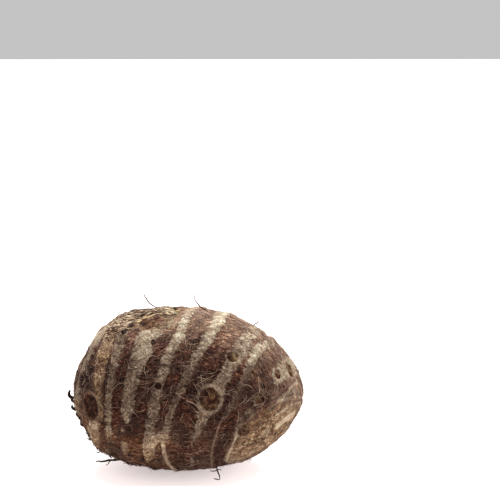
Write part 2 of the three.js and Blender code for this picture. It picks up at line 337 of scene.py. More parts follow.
def swayAt(place, around):
    # how far a ring strays from its plane
    inside = np.clip(place, 0, lastRing)
    before = np.minimum(np.floor(inside).astype(int), lastRing - 1)
    waves = [
        ringValues("sway")[index] * np.sin(3 * (around - np.radians(ringValues("swayFrom")[index])))
        for index in (before, before + 1)
    ]
    return blendOf(waves[0], waves[1], inside - before) * (1 - np.abs(place - inside))


def bodyPoint(place, around):
    # a point of the smooth body, on the slice at this place, at this angle from the top to the near side
    middle, normal = sliceAt(place)
    up = unit(np.cross(normal, np.array([0, 1, 0])))
    near = np.cross(normal, up)
    direction = up * np.cos(around)[..., None] + near * np.sin(around)[..., None]
    return castOut(middle + normal * swayAt(place, around)[..., None], direction)


def gapBeside(index, side):
    # mm on the middle line from a ring to the next one
    if index == 0 and side < 0:
        return rings[0]["at"] + body["halfLength"]
    first = min(index + min(side, 0), lastRing - 1)
    return rings[first + 1]["at"] - rings[first]["at"]


def ridgeHeight(place, around):
    # how far the leaf-scar rings stand off the body
    total = 0
    for index, ring in enumerate(rings):
        half = ring["width"] / 2 * (1 - ring["slim"] * (1 - np.cos(around)) / 2)
        gap = np.where(place < index, gapBeside(index, -1), gapBeside(index, 1))
        away = np.abs(place - index) * gap / half
        height = ring["rise"] * (1 - smooth(ridge["crest"], ridge["foot"], away))
        if index in wornRings:
            middle, span = wornRings[index]
            turned = np.degrees(np.arccos(np.cos(around - math.radians(middle))))
            height = height * smooth(span / 2, span / 2 + ridge["wornFades"], turned)
        total = total + height
    return total


def footOf(along, roll):
    # where a line out from the middle line leaves the body. roll: degrees from the near side, up and over
    angle = math.radians(roll)
    start = np.array([along, 0.0, float(middleLevel(np.array(float(along))))])
    return castOut(start, np.array([0.0, -math.cos(angle), math.sin(angle)]))


# Side buds and old scars. along, roll: where. radius, rim, moat, dome: as in the solid. oval: taller than
# wide. olive: how green the bud is. pale: how pale its rim is.
budKeys = ("along", "roll", "radius", "rim", "moat", "dome", "oval", "olive", "pale")
buds = named(budKeys, (
    (8.0, 7, 4.6, 0.7, 0.9, 0.5, 1.12, 0.3, 0.7),
    (16.9, 39, 2.7, 0.5, 0.4, 0.7, 0.9, 0.56, 0.65),
    (27.1, 7, 2.5, 0.4, 0.3, 0.4, 1.0, 0.38, 0.3),
    (21.3, -20, 2.7, 0.4, 0.5, 0.2, 1.1, 0.42, 0.3),
    (-11.7, 16, 1.5, 0.3, 0.7, -0.7, 1.0, 0.0, 0.2),
    (34.8, 34, 1.9, 0.4, 0.4, 0.3, 1.2, 0.4, 0.5),
    (40.1, 51, 2.7, 0.4, 0.6, 0.1, 1.4, 0.55, 0.9),
    (-38.4, -3, 5.2, 0.5, 1.2, -0.9, 1.1, 0.08, 0.2),
    (-7.0, 142, 4.0, 0.6, 0.7, 0.6, 1.1, 0.3, 0.6),
    (19.0, 172, 3.0, 0.5, 0.5, 0.5, 1.0, 0.8, 0.5),
    (-26.0, 196, 3.6, 0.6, 0.7, 0.4, 1.1, 0.2, 0.4),
    (31.0, 118, 2.6, 0.4, 0.4, 0.5, 1.0, 0.9, 0.5),
    (3.0, 226, 2.8, 0.4, 0.5, 0.4, 1.0, 0.4, 0.4),
))
baseScar = {"radius": 6.0, "rim": 0.6, "moat": 0.9, "dome": -0.3, "oval": 1.0, "olive": 0.0, "pale": 0.2}

# Smaller marks that are little more than colour: eyes that never grew, and dry pits
marks = named(budKeys, (
    (1.5, 47.7, 0.9, 0.2, 0.5, -0.5, 1.0, 0.1, 0.7),
    (-13.7, 48.6, 1.1, 0.0, 0.6, -0.7, 1.3, 0.0, 0.0),
    (-16.1, 67.6, 3.7, 0.1, 0.3, 0.0, 1.2, 0.42, 0.0),
    (28.6, 18.6, 1.3, 0.2, 0.3, -0.2, 1.2, 0.1, 0.2),
    (43.6, 84.0, 2.3, 0.2, 0.3, -0.3, 1.5, 0.5, 0.3),
    (-30.0, 150.0, 1.6, 0.2, 0.5, -0.4, 1.0, 0.1, 0.3),
    (6.0, 118.0, 1.3, 0.2, 0.5, -0.5, 1.2, 0.0, 0.4),
    (36.0, 205.0, 1.8, 0.3, 0.4, 0.1, 1.1, 0.6, 0.4),
    (-14.0, 236.0, 1.5, 0.2, 0.5, -0.4, 1.0, 0.0, 0.3),
))

budReach = 1.4  # radii from a bud's middle to where the skin is level again
farSpan = 9  # farther than any bud or the slit reaches


def spanFrom(points, foot, bud):
    # distance from a bud's foot on the skin, in its radii, in the plane that touches the skin there
    up = normalAt(foot)
    lift = unit(np.array([0, 0, 1]) - up * up[2])
    side = np.cross(up, lift)
    gap = points - foot
    span = np.hypot((gap @ side), (gap @ lift) / bud["oval"]) / bud["radius"]
    depth = 1.5 * bud["radius"] + 3  # mm. Deeper points are on the corm's other side
    return np.where(np.abs(gap @ up) < depth, span, farSpan)


def budHeight(span, bud):
    # a bud from its middle out: a dome, a moat, a raised rim, then the skin
    rim, moat, dome = bud["rim"], bud["moat"], bud["dome"]
    places = (0, 0.4, 0.72, 0.85, 1.0, 1.15, budReach)
    heights = (dome, blendOf(-moat, dome, 0.75), -moat, 0.3 * (rim - moat), rim, 0.75 * rim, 0)
    return np.interp(span, places, heights)


# Slit between the last two leaf scales at the growing tip, and the lip over it, as in the solid
tipSlit = {"from": 23, "to": 36, "roll": -38, "width": 0.9, "depth": 1.6}
tipLip = {"rise": 0.45, "edge": 0.6, "fadesOver": 5, "fullShare": 0.33, "endShare": 0.7}


def slitFrame():
    # the slit's middle, its length, and its directions along, uphill and out
    ends = [footOf(tipSlit[key], tipSlit["roll"]) for key in ("from", "to")]
    middle = footOf((tipSlit["from"] + tipSlit["to"]) / 2, tipSlit["roll"])
    out = normalAt(middle)
    along = ends[1] - ends[0]
    along = unit(along - out * (along @ out))
    return middle, np.linalg.norm(ends[1] - ends[0]), np.stack([along, np.cross(out, along), out], -1)


def slitPlace(points):
    # distances from the slit's middle, as shares of its length along it, and mm uphill of it
    middle, length, directions = slitFrame()
    gap = (points - middle) @ directions
    along = np.where(gap[..., 2] < -length, farSpan, gap[..., 0] / length)
    return along, gap[..., 1]


def slitHeight(points):
    along, uphill = slitPlace(points)
    uphill = uphill + driftOf("slit", points)
    length = 1 - smooth(tipLip["fullShare"], tipLip["endShare"], np.abs(along))
    edge, fades = tipLip["edge"], tipLip["fadesOver"]
    lip = tipLip["rise"] * smooth(0, edge, uphill) * (1 - smooth(edge, fades, uphill)) * length
    half = tipSlit["width"] / 2 * np.sqrt(np.clip(1 - (2 * along) ** 2, 0, 1))
    groove = tipSlit["depth"] * np.clip(1 - np.abs(uphill) / np.maximum(half, 0.01), 0, 1) ** 0.5
    return lip - groove


# Pale corky bands along the leaf scars. Each row: angle from the top, first and last place, tone.
# Places count rings. Tone: 0 brown, 1 cream. A band is gone where its last place is below its first.
# The tones run paler on top and darker round the sides: partly the bands' own colour, and partly painted
# light from above with painted shade on the sides.
corkBands = {
    "base": (
        (0, -0.3, 0.9, 0.62), (17, -0.2, 1, 0.6), (35, -0.2, 0.95, 0.55), (42, -0.05, 0.35, 0.4),
        (68, -0.1, 0.3, 0.5), (76, -0.25, 0.05, 0.4), (95, -0.2, 0.15, 0.42), (180, -0.2, 0.2, 0.4),
    ),
    "khaki": (
        (0, 1.1, 1.9, 0.45), (20, 1.05, 1.8, 0.62), (30, 1, 1.75, 0.5), (45, 0.85, 1.7, 0.56),
        (62, 0.9, 1.7, 0.44), (82, 0.8, 1.6, 0.38), (92, 1.3, 1.7, 0.4), (105, 1.4, 1.75, 0.35),
        (112, 0.9, 1.5, 0.62), (130, 0.7, 1.4, 0.58), (150, 0.8, 1.2, 0.4), (180, 0.8, 1.2, 0.4),
    ),
    "thin": (
        (0, 2, 2.4, 0.5), (7, 2, 2.35, 0.72), (30, 2.05, 2.38, 0.72), (38, 1.8, 2.3, 0.35),
        (60, 1.95, 2.3, 0.3), (80, 1.98, 2.28, 0.34), (100, 2, 2.27, 0.4), (113, 2, 2.28, 0.6),
        (120, 2, 2.25, 0.4), (140, 2, 2.2, 0.3), (180, 2, 2.2, 0.3),
    ),
    "patched": (
        (0, 3.2, 3.57, 0.64), (15, 3.25, 3.6, 0.5), (32, 3.35, 3.7, 0.45), (35, 3.1, 3.5, 0.45),
        (38, 2.74, 3.56, 0.62), (48, 2.76, 3.4, 0.5), (55, 2.8, 3.5, 0.55), (64, 2.8, 3.35, 0.42),
        (80, 2.82, 3.33, 0.3), (95, 2.83, 3.3, 0.4), (102, 2.95, 3.3, 0.5), (107, 3.2, 3.1, 0.4),
        (118, 3.0, 2.85, 0.4), (121, 2.75, 3.15, 0.6), (130, 2.75, 3.15, 0.56), (134, 3.0, 2.9, 0.5),
        (180, 2.85, 3.15, 0.35),
    ),
    "cream": (
        (0, 3.69, 3.99, 0.78), (12, 3.78, 4.1, 0.74), (22, 3.88, 4.14, 0.76), (32, 3.95, 4.2, 0.8),
        (41, 3.95, 4.27, 0.78), (52, 3.89, 4.2, 0.52), (65, 3.85, 4.2, 0.44), (80, 3.84, 4.2, 0.34),
        (95, 3.8, 4.3, 0.3), (108, 3.84, 4.25, 0.4), (118, 3.8, 4.35, 0.6), (122, 3.78, 4.4, 0.7),
        (132, 3.78, 4.32, 0.62), (138, 3.8, 4.2, 0.4), (143, 3.9, 3.8, 0.4), (180, 3.85, 4.15, 0.45),
    ),
    "forked": (
        (0, 4.63, 5.05, 0.9), (9, 4.72, 5.14, 0.8), (18, 4.78, 5.17, 0.68), (33, 4.8, 5.13, 0.66),
        (45, 4.8, 5.1, 0.6), (60, 4.74, 5.06, 0.3), (85, 4.71, 5.02, 0.22), (100, 4.7, 4.99, 0.4),
        (110, 4.66, 4.98, 0.55), (116, 4.6, 5, 0.66), (119, 4.64, 4.88, 0.7), (131, 4.77, 4.96, 0.7),
        (140, 4.84, 5.02, 0.66), (151, 4.89, 5.07, 0.6), (180, 4.9, 5.1, 0.45),
    ),
    "fork": (
        (107, 4.72, 4.6, 0.5), (110, 4.5, 4.75, 0.55), (113, 4.36, 4.75, 0.6), (116, 4.2, 4.72, 0.66),
        (119, 4.15, 4.6, 0.7), (121.5, 4.2, 4.42, 0.7), (123, 4.34, 4.3, 0.6),
    ),
    "budded": (
        (0, 5.72, 6.15, 0.58), (8, 5.72, 6.22, 0.54), (30, 5.75, 6.25, 0.58), (34, 5.75, 6.5, 0.52),
        (41, 5.78, 6.5, 0.52), (48, 5.8, 6.4, 0.42), (55, 5.8, 6.38, 0.38), (68, 5.8, 6.36, 0.34),
        (74, 5.65, 6.4, 0.42), (82, 5.55, 6.55, 0.42), (90, 5.6, 6.5, 0.42), (97, 5.75, 6.25, 0.42),
        (106, 5.8, 6.12, 0.45), (113, 5.85, 5.98, 0.65), (116, 5.95, 5.9, 0.5), (132, 6.1, 6.05, 0.4),
        (136, 6, 6.18, 0.45), (150, 6.05, 6.18, 0.4), (180, 6, 6.15, 0.4),
    ),
    "slanting": (
        (0, 6.8, 7.24, 0.58), (10, 6.7, 7.18, 0.54), (18, 6.5, 7.12, 0.62), (32, 6.55, 7.08, 0.7),
        (36, 6.6, 7.08, 0.68), (45, 6.68, 7.06, 0.56), (48, 6.75, 7.1, 0.36), (56, 6.8, 7.2, 0.24),
        (75, 6.93, 7.3, 0.16), (88, 6.95, 7.3, 0.14), (97, 7, 7.1, 0.2), (100, 7.1, 7, 0.2),
        (180, 7.1, 7, 0.3),
    ),
    "eyed": (
        (0, 7.7, 8.3, 0.64), (30, 7.75, 8.35, 0.64), (35, 7.9, 8.25, 0.55), (39, 8, 8.1, 0.4),
        (42, 8.1, 8, 0.4), (54, 8.3, 8.2, 0.3), (58, 8.1, 8.5, 0.3), (70, 8.1, 8.6, 0.3),
        (75, 8.4, 8.3, 0.3), (88, 8.3, 8.4, 0.35), (95, 8.1, 8.9, 0.35), (104, 8.3, 9, 0.38),
        (110, 8.6, 8.8, 0.3), (113, 8.8, 8.7, 0.3), (170, 8.1, 8, 0.3), (180, 7.95, 8.1, 0.3),
    ),
    "scale": (
        (0, 8.68, 8.85, 0.55), (12, 8.75, 8.95, 0.55), (22, 8.9, 9.1, 0.6), (32, 9.1, 9.4, 0.5),
        (42, 9.3, 9.55, 0.4), (55, 9.55, 9.75, 0.4), (65, 9.7, 9.95, 0.42), (75, 9.85, 10.02, 0.45),
        (95, 9.93, 10.05, 0.45), (108, 9.9, 10.05, 0.5), (111, 9.05, 10, 0.4), (125, 9.05, 10, 0.47),
        (180, 9.0, 10, 0.64),
    ),
    "tip": [(angle, 9.97, 11.4, tone) for angle, tone in (
        (0, 0.56), (45, 0.54), (60, 0.5), (80, 0.56), (100, 0.46), (130, 0.48), (180, 0.62),
    )],
}

# Tone of the fibre mats between the bands, as (angle, tone): 0 near black, 1 light brown. Paler on top and
# darker round the sides: partly the mats' own colour, partly painted light from above and painted shade on
# the sides.
matTones = {
    "body": (
        (0, 0.86), (20, 0.96), (35, 0.66), (48, 0.42), (60, 0.22), (80, 0.16), (95, 0.22), (110, 0.32),
        (125, 0.4), (140, 0.34), (180, 0.4),
    ),
    "shoulder": (
        (0, 0.75), (20, 0.7), (40, 0.62), (55, 0.45), (65, 0.26), (80, 0.3), (95, 0.26), (180, 0.33),
    ),
    "tip": (
        (0, 1.25), (20, 0.95), (45, 0.75), (65, 0.55), (80, 0.8), (95, 0.56), (110, 0.6), (140, 0.66),
        (180, 0.5),
    ),
}

# Blotches, as (place, angle, radius, strength): dark below zero, pale above it
blotches = (
    (0.1, 80, 3.5, -0.7), (0.35, 90, 1.2, 0.6), (0.6, 72, 4.0, -0.8), (0.64, 52, 2.6, -0.8),
    (0.85, 128, 2.8, 0.4), (1.57, 28, 2.2, -0.45), (1.8, 75, 2.2, -0.5), (1.85, 62, 2.6, -0.6),
    (2.2, 34, 1.6, -0.9), (2.42, 29, 2.0, -0.6), (2.5, 15, 2.4, -0.4), (2.5, 130, 3.0, -0.5),
    (2.6, 35, 1.4, -0.8), (2.95, 110, 0.9, 0.9), (3.02, 22, 1.8, -0.8), (3.17, 24, 2.6, -1.1),
    (3.29, 9, 2.2, 0.9), (3.3, 112, 3.0, -0.7), (3.55, 5, 2.4, -0.5), (3.68, 27, 2.8, 0.4),
    (4.9, 28, 1.0, -0.4), (5.35, 68, 3.0, -0.5), (5.4, 80, 2.4, -0.9), (6.35, 48, 1.3, 0.5),
    (6.4, 3, 2.0, -0.5), (7.5, 20, 2.0, -0.5), (7.9, 25, 1.8, -0.7), (7.95, 66, 2.0, -0.3),
    (8.5, 82, 2.2, 0.5), (8.6, 20, 3.4, -0.5), (8.65, 57, 3.6, -0.6), (9.4, 31, 2.0, 0.3),
    (9.5, 20, 1.6, -0.4), (9.55, 50, 1.6, 0.4), (9.6, -38, 2.4, 0.7), (9.7, 60, 2.0, -0.3),
    (10.25, 205, 3.0, -0.5), (10.4, 17, 1.8, -0.5), (10.55, 92, 2.6, 0.5),
)

# Thin pale rims that the leaf bases left: width, tone, and the (place, angle) stops along each
pathKeys = ("width", "tone", "path")
scarRims = named(pathKeys, {
    "slantingRim": (0.8, 0.55, (
        (6.86, 69), (6.94, 75.5), (6.92, 88), (6.87, 100), (6.86, 110), (6.87, 123), (6.91, 136),
        (6.94, 149), (6.92, 170), (6.95, 200),
    )),
    "tipBack": (1.3, 0.85, (
        (8.21, 97), (8.54, 105), (9.07, 112), (9.27, 127), (9.31, 141), (9.15, 157), (8.5, 172),
    )),
    "tipInner": (0.8, 0.7, ((10.23, 120), (10.02, 130), (9.76, 142), (9.68, 157))),
    "scaleBack": (1.3, 1.15, ((9.87, 63), (9.4, 45), (8.92, 25), (8.68, 9), (8.54, -5), (8.5, -30))),
    "scaleFront": (1.2, 1.15, ((10.07, 70), (10.04, 45), (9.98, 18), (9.73, -7), (9.31, -27), (9.2, -60))),
    "paleStreak": (3.1, 1.1, ((9.7, -38), (10.2, -25), (10.48, -5), (10.64, 20), (10.68, 65))),
    "cellFar": (1.0, 1.1, ((8.64, 3), (8.89, -8), (9.39, -4))),
    "cellEnd": (1.0, 1.1, ((8.48, -10), (8.76, -30), (8.92, -40))),
    "eyeRim": (1.0, 1.0, ((7.76, 0.5), (8.11, 1), (8.44, -11), (8.68, -21))),
    "forkRim": (1.8, 0.75, (
        (4.66, 114), (4.7, 118), (4.77, 123.5), (4.87, 130.5), (4.93, 139.5), (4.98, 151), (5, 175),
    )),
    "baseRim": (0.8, 0.35, ((0.62, 85), (1.24, 87), (1.66, 92), (1.94, 101))),
})

# grainRadius: mm of the grain's pattern round the corm. Furrows and plates: mm along the growth and across.
skin = {
    "rows": 300, "columns": 330, "grainRadius": 30, "furrowPitch": (5.0, 1.5, 1.5), "topFurrows": 0.45,
    "platePitch": (4.0, 1.8, 1.8), "plateSeed": 61, "plate": 0.3, "bandRise": 0.12, "rimRise": 0.12,
}


def sideAngle(points, around):
    # angle from the top, which on the far side wanders so that the two sides aren't alike
    turned = (np.degrees(around) + 180) % 360 - 180
    return np.abs(turned + driftOf("farAngle", points) * smooth(0, 30, -turned))


def bandPaint(points, place, around):
    # distance in mm inside the nearest band, and that band's tone
    side = sideAngle(points, around)
    index = np.clip(np.floor(place).astype(int), -1, lastRing)
    baseGap, tipGap = gapBeside(0, -1) * 3, 12.0  # over the ends a place spans more skin
    gaps = np.array([baseGap] + [gapBeside(k, 1) for k in range(lastRing)] + [tipGap])[index + 1]
    drift = driftOf("farBands", points) * (np.degrees(around) % 360 > 180)
    outside, deepest = -9, 5
    edge, tone = np.full(place.shape, float(outside)), np.full(place.shape, 0.4)
    for stops in corkBands.values():
        angles, *limits = np.array(stops, float).T
        low, high, hue = (np.interp(side, angles, limit) for limit in limits)
        inside = np.minimum(place + drift - low, high - place - drift) * gaps
        inside = np.where((side < angles[0]) | (side > angles[-1]), outside, inside)
        tone = np.where(inside > edge, hue, tone)
        edge = np.maximum(edge, inside)
    return np.clip(edge, -deepest, deepest), tone


def runAlong(points):
    # the distance along a path to each of its points
    return np.concatenate([[0], np.cumsum(np.linalg.norm(np.diff(points, axis=0), axis=1))])


def routeOf(stops, count):
    # places and angles evenly along a path through the stops, with its corners rounded
    place, angle = np.array(stops, float).T
    run = runAlong(bodyPoint(place, np.radians(angle)))
    steps = np.linspace(0, run[-1], count)
    place, angle = np.interp(steps, run, place), np.interp(steps, run, angle)
    for turn in range(3):
        place[1:-1] = (place[:-2] + 2 * place[1:-1] + place[2:]) / 4
        angle[1:-1] = (angle[:-2] + 2 * angle[1:-1] + angle[2:]) / 4
    return place, angle


# samples: points along a rim. taper: share of its length where it thins out. soft: mm in and out of its edge.
rimBrush = {"samples": 90, "taper": 0.25, "soft": (0.3, 0.4), "bareTone": 0.6}


def rimPaint(points):
    # how far each point lies inside a rim, from 0 to 1, and that rim's tone
    share, tone = np.zeros(len(points)), np.full(len(points), rimBrush["bareTone"])
    taper = smooth(0, rimBrush["taper"], 0.5 - np.abs(np.linspace(-0.5, 0.5, rimBrush["samples"])))
    for rim in scarRims.values():
        place, angle = routeOf(rim["path"], len(taper))
        nearest = np.full(len(points), 99.0)
        for spot, full in zip(bodyPoint(place, np.radians(angle)), taper):
            nearest = np.minimum(nearest, np.linalg.norm(points - spot, axis=1) + (1 - full) * rim["width"])
        inner, outer = rimBrush["soft"]
        own = 1 - smooth(rim["width"] / 2 - inner, rim["width"] / 2 + outer, nearest)
        tone = np.where(own > share, rim["tone"], tone)
        share = np.maximum(share, own)
    return share, tone


def evenPlaces(count):
    # places from the base end to the tip end, evenly spaced over the skin
    trial = np.linspace(-1, lastRing + 1, 1500)
    around = np.radians(range(0, 360, 60))
    arc = np.mean([runAlong(bodyPoint(trial, np.full(trial.shape, angle))) for angle in around], 0)
    return np.interp(np.linspace(0, arc[-1], count), arc, trial)


def budSpans(points):
    # each bud, mark and scar, with the distance of every point from it
    placed = [(bud, footOf(bud["along"], bud["roll"])) for bud in buds + marks] + [(baseScar, baseEnd)]
    return [(bud, spanFrom(points, foot, bud)) for bud, foot in placed]


def budPaint(points):
    # distance from the nearest bud in its radii, how green that bud is, and how pale its rim is
    span, olive, pale = np.full(len(points), 3.0), np.zeros(len(points)), np.zeros(len(points))
    for bud, own in budSpans(points):
        olive = np.where(own < span, bud["olive"], olive)
        pale = np.where(own < span, bud["pale"], pale)
        span = np.minimum(span, own)
    return span, olive, pale


def skinRelief(points, place, around):
    # the same relief as the solid's
    height = ridgeHeight(place, around) + swellingAt(points)
    for bud, span in budSpans(points):
        level = height * smooth(0.9, budReach, span) + budHeight(span, bud)
        height = np.where(span < budReach, level, height)
    return height + slitHeight(points)


def makeMesh(name, points, faces, material):
    mesh = bpy.data.meshes.new(name)
    mesh.from_pydata((points * mm).tolist(), [], faces)
    mesh.materials.append(material)
    mesh.polygons.foreach_set("use_smooth", [True] * len(mesh.polygons))
    piece = bpy.data.objects.new(name, mesh)
    bpy.context.scene.collection.objects.link(piece)
    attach(piece, "root")
    return piece


def addAttribute(piece, name, values):
    kind = "FLOAT_VECTOR" if values.ndim == 2 else "FLOAT"
    attribute = piece.data.attributes.new(name, kind, "POINT")
    attribute.data.foreach_set("vector" if values.ndim == 2 else "value", values.astype(np.float32).ravel())


# Dry corky skin. Patterns: mm along the growth and mm across it, or mm each way. The real fibre lines and
# specks are under a quarter of a millimetre, too fine to show, so these are two or three times as coarse.
skinFinish = {
    "stretched": {"fray": (2.0, 0.5), "streaks": (6.0, 0.8), "fineLines": (2.4, 0.4), "plates": (3.2, 1.2)},
    "even": {"mottle": 1.9, "scales": 2.6, "speckle": 0.7}, "pits": 2.2, "bend": 6.0, "bendBy": 2.6,
    "noise": {"Detail": 3, "Roughness": 0.6}, "roughness": 0.95, "shine": 0.1, "bump": 0.3,
    "bandFray": 3.0, "tanFray": 0.3, "earthShare": 0.85, "pitShare": 0.75, "budRimAt": (1.2, 0.12),
    "bandRelief": 0.06, "speckRelief": 0.35,
    "pale": "#a8977a", "pit": "#2a1911", "budRim": "#a3907a",
}
skinColours = {
    "mat": ((0, "#190a05"), (0.3, "#3f2016"), (0.6, "#664739"), (1, "#967a63")),
    "earth": ((0, "#2c1a0e"), (0.35, "#624028"), (0.7, "#866345"), (1, "#ad9070")),
    "tan": ((0, "#2f1f12"), (0.3, "#5c4431"), (0.62, "#8b7055"), (1, "#c8b899")),
    "cork": ((0, "#3a2a21"), (0.35, "#645244"), (0.65, "#8c7d69"), (1, "#afac98")),
    "rim": ((0, "#4a382b"), (0.5, "#826f5b"), (1, "#bdac91")),
    "bark": ((0, "#2a1a11"), (0.3, "#5f4833"), (0.6, "#957d5c"), (1, "#c4b28d")),
    "bud": ((0, "#1e0f0a"), (0.25, "#40231a"), (0.5, "#553e29"), (0.8, "#756045"), (1, "#8c7a58")),
}

# What each tone or edge starts from, how much of each pattern is added, and what is taken off at the end
blends = {
    "mat": ("matTone", {"streaks": 0.9, "mottle": 1.0, "fineLines": 1.2, "speckle": 1.8}, 2.48),
    "cork": ("bandTone", {"speckle": 1.6, "fineLines": 0.5, "mottle": 0.9}, 1.5),
    "tan": ("bandTone", {"scales": 1.9, "speckle": 1.8}, 1.93),
    "rim": ("rimTone", {"speckle": 1.0}, 0.5),
    "bark": ("bandTone", {"plates": 1.3, "cells": 0.5}, 0.95),
    "bud": ("budOlive", {"mottle": 2.4}, 1.2),
    "rimEdge": ("rimShare", {"fray": 1.2, "mottle": 1.4}, 0),
    "barkEdge": ("barkShare", {"fray": 1.6, "mottle": 0.8}, 0),
    "budEdge": ("budSpan", {"mottle": 0.35}, 0),
}

# The values between which each layer of the skin goes from clear to full
fades = {
    "band": (-0.4, 0.2), "rim": (1.65, 2.4), "bark": (1.6, 1.8), "plate": (0.0, 0.12), "dark": (0.1, 0.4),
    "pale": (0.08, 0.45), "pit": (0.24, 0.12), "bud": (1.12, 0.98),
}
paintNames = (
    "bandEdge", "bandTone", "rimShare", "rimTone", "matTone", "barkShare", "tanShare", "stain", "budSpan",
    "budOlive", "budPale",
)


def skinPatterns(tree):
    # noises and cells, along a grain that bends a little or the same all ways
    spot = addNode(tree, "TexCoord").outputs["Object"]
    bend = addNode(tree, "TexNoise", {"Vector": spot, "Scale": 1000 / skinFinish["bend"], "Detail": 1})
    bend = {0: bend.outputs["Color"], "Scale": skinFinish["bendBy"]}
    bend = addNode(tree, "VectorMath", bend, operation="SCALE")
    grain = addNode(tree, "Attribute", attribute_name="grain").outputs["Vector"]
    grain = addNode(tree, "VectorMath", {0: grain, 1: bend}, operation="ADD")
    pattern, lie, noise = {}, {}, skinFinish["noise"]
    for name, (along, across) in skinFinish["stretched"].items():
        lie[name] = addNode(tree, "Mapping", {"Vector": grain, "Scale": (1 / along, 1 / across, 1 / across)})
        pattern[name] = addNode(tree, "TexNoise", {"Vector": lie[name], "Scale": 1, **noise})
    for name, pitch in skinFinish["even"].items():
        pattern[name] = addNode(tree, "TexNoise", {"Vector": spot, "Scale": 1000 / pitch, **noise})
    cells = {"Vector": lie["plates"], "Scale": 1, "Randomness": 1}
    pattern["cells"] = addNode(tree, "TexVoronoi", cells, feature="F1").outputs["Color"]
    pattern["cracks"] = addNode(tree, "TexVoronoi", cells, feature="DISTANCE_TO_EDGE")
    pits = addNode(tree, "TexVoronoi", {"Vector": spot, "Scale": 1000 / skinFinish["pits"], "Randomness": 1})
    pattern["pits"], pattern["pitCells"] = pits, pits.outputs["Color"]
    return pattern


def layerShares(tree, value, pattern, blend):
    # how much of each layer shows. A band's edge is frayed by fibre that grows over it, a tan band's less so.
    fray = pattern["fray"]
    edge = addNode(tree, "Math", {0: fray, 1: pattern["mottle"]}, operation="ADD")
    frayed = {0: edge, 1: skinFinish["bandFray"], 2: -skinFinish["bandFray"]}
    edge = addNode(tree, "Math", frayed, operation="MULTIPLY_ADD")
    steady = {"Value": value["tanShare"], "To Min": 1.0, "To Max": skinFinish["tanFray"]}
    steady = addNode(tree, "MapRange", steady)
    bandEdge = addNode(tree, "Math", {0: edge, 1: steady, 2: value["bandEdge"]}, operation="MULTIPLY_ADD")
    # the dark layer comes from dark blotches and from the painted shade in the slit
    dark = addNode(tree, "Math", {0: value["stain"], 1: -1.0}, operation="MULTIPLY", use_clamp=True)
    dark = addNode(tree, "Math", {0: dark, 1: fray}, operation="MULTIPLY")
    pale = addNode(tree, "Math", {0: value["stain"], 1: fray}, operation="MULTIPLY", use_clamp=True)
    edges = {
        "band": bandEdge, "rim": blend["rimEdge"], "bark": blend["barkEdge"], "plate": pattern["cracks"],
        "dark": dark, "pale": pale, "pit": pattern["pits"], "bud": blend["budEdge"],
    }
    share = {}
    for name, source in edges.items():
        clear, full = fades[name]
        kind = "SMOOTHSTEP" if name == "band" else "LINEAR"
        limits = {"Value": source, "From Min": clear, "From Max": full}
        share[name] = addNode(tree, "MapRange", limits, interpolation_type=kind)

    # pits are in about half of their pattern's cells, and a bud's rim is broken where the fray is low
    chosen = addNode(tree, "Math", {0: pattern["pitCells"], 1: 0.5}, operation="GREATER_THAN")
    at, half = skinFinish["budRimAt"]
    budRim = addNode(tree, "Math", {0: blend["budEdge"], 1: at, 2: half}, operation="COMPARE")
    products = {
        "pit": (share["pit"], chosen, skinFinish["pitShare"]), "budRim": (budRim, value["budPale"], fray),
        "earth": (value["tanShare"], skinFinish["earthShare"], 1.0),
    }
    for name, (first, second, third) in products.items():
        product = addNode(tree, "Math", {0: first, 1: second}, operation="MULTIPLY")
        share[name] = addNode(tree, "Math", {0: product, 1: third}, operation="MULTIPLY")
    return share


def skinBump(tree, pattern, share):
    # the finest relief, which the mesh is too coarse to hold, and which is faint on the bands
    calm = {"Value": share["band"], "To Min": 1.0, "To Max": skinFinish["bandRelief"]}
    calm = addNode(tree, "MapRange", calm)
    relief = addNode(tree, "Math", {0: pattern["streaks"], 1: pattern["fineLines"]}, operation="ADD")
    relief = addNode(tree, "Math", {0: relief, 1: calm}, operation="MULTIPLY")
    specks = {0: pattern["speckle"], 1: skinFinish["speckRelief"], 2: relief}
    relief = addNode(tree, "Math", specks, operation="MULTIPLY_ADD")
    relief = addNode(tree, "Math", {0: share["plate"], 1: share["bark"], 2: relief}, operation="MULTIPLY_ADD")
    return addNode(tree, "Bump", {"Strength": 1.0, "Distance": skinFinish["bump"] * mm, "Height": relief})


def makeSkinMaterial():
    # unwashed, air-dried cork and bark: chalky and matt, pale where scars healed, dark where fibre grows
    material, tree, shader = newMaterial("airDriedCork", skinFinish)
    value = {name: addNode(tree, "Attribute", attribute_name=name).outputs["Fac"] for name in paintNames}
    pattern = skinPatterns(tree)
    blend = {}
    for name, (start, shares, less) in blends.items():
        total = value[start]
        for part, share in shares.items():
            total = addNode(tree, "Math", {0: pattern[part], 1: share, 2: total}, operation="MULTIPLY_ADD")
        blend[name] = addNode(tree, "Math", {0: total, 1: less}, operation="SUBTRACT")
    share = layerShares(tree, value, pattern, blend)

    # cracks between the plates of bark are dark, and the mats are earthier where the bands are tan
    blend["bark"] = addNode(tree, "Math", {0: blend["bark"], 1: share["plate"]}, operation="MULTIPLY")
    blend["earth"] = blend["mat"]
    colour = {name: linearColour(skinFinish[name]) for name in ("pale", "pit", "budRim")}
    for name, stops in skinColours.items():
        colour[name] = addNode(tree, "ValToRGB", {0: blend[name]}, stops)
    bandColours = {0: value["tanShare"], 6: colour["cork"], 7: colour["tan"]}
    colour["band"] = addNode(tree, "Mix", bandColours, data_type="RGBA")
    colour["dark"] = base = colour["mat"]
    for name in ("earth", "band", "rim", "bark", "dark", "pale", "pit", "bud", "budRim"):
        # each layer lies over those before it
        base = addNode(tree, "Mix", {0: share[name], 6: base, 7: colour[name]}, data_type="RGBA")
    tree.links.new(base.outputs[2], shader.inputs["Base Color"])
    tree.links.new(skinBump(tree, pattern, share).outputs[0], shader.inputs["Normal"])
    return material


